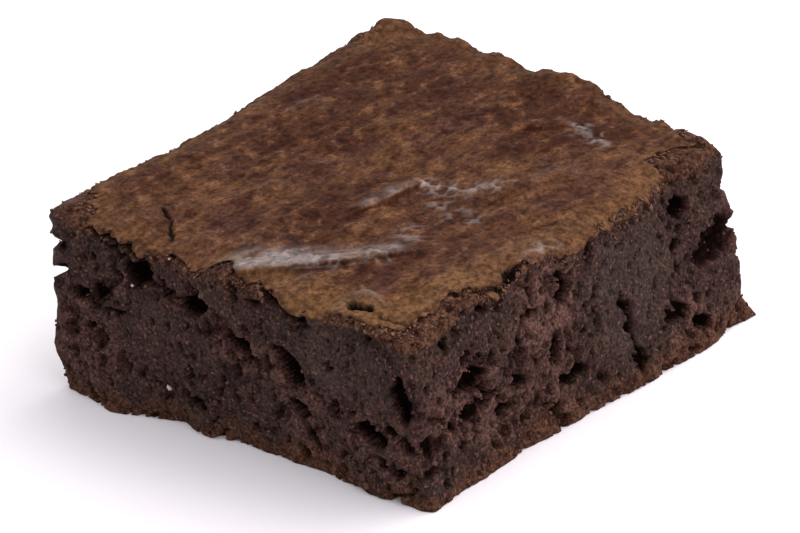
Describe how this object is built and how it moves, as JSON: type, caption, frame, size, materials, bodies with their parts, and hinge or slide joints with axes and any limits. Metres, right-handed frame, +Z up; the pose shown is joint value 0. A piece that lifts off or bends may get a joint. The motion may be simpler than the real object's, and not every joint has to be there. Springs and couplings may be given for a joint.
{
  "type": "brownie",
  "caption": "Square-cut fudge brownie with a wrinkled crust, craggy cut sides with opened air pockets, and a flat base.",
  "frame": {"origin": "middle of the bounding box's footprint, on the flat base", "axes": "+Z up out of the crust; +X out of the picture's right-hand cut side; -Y out of its left-hand cut side"},
  "size_m": [0.069, 0.068, 0.0292],
  "materials": {
    "baked_chocolate_crumb": "matt, slightly moist baked chocolate crumb under a thin satin crust"
  },
  "bodies": {
    "root": {"brownie": "baked_chocolate_crumb"}
  },
  "joints": []
}
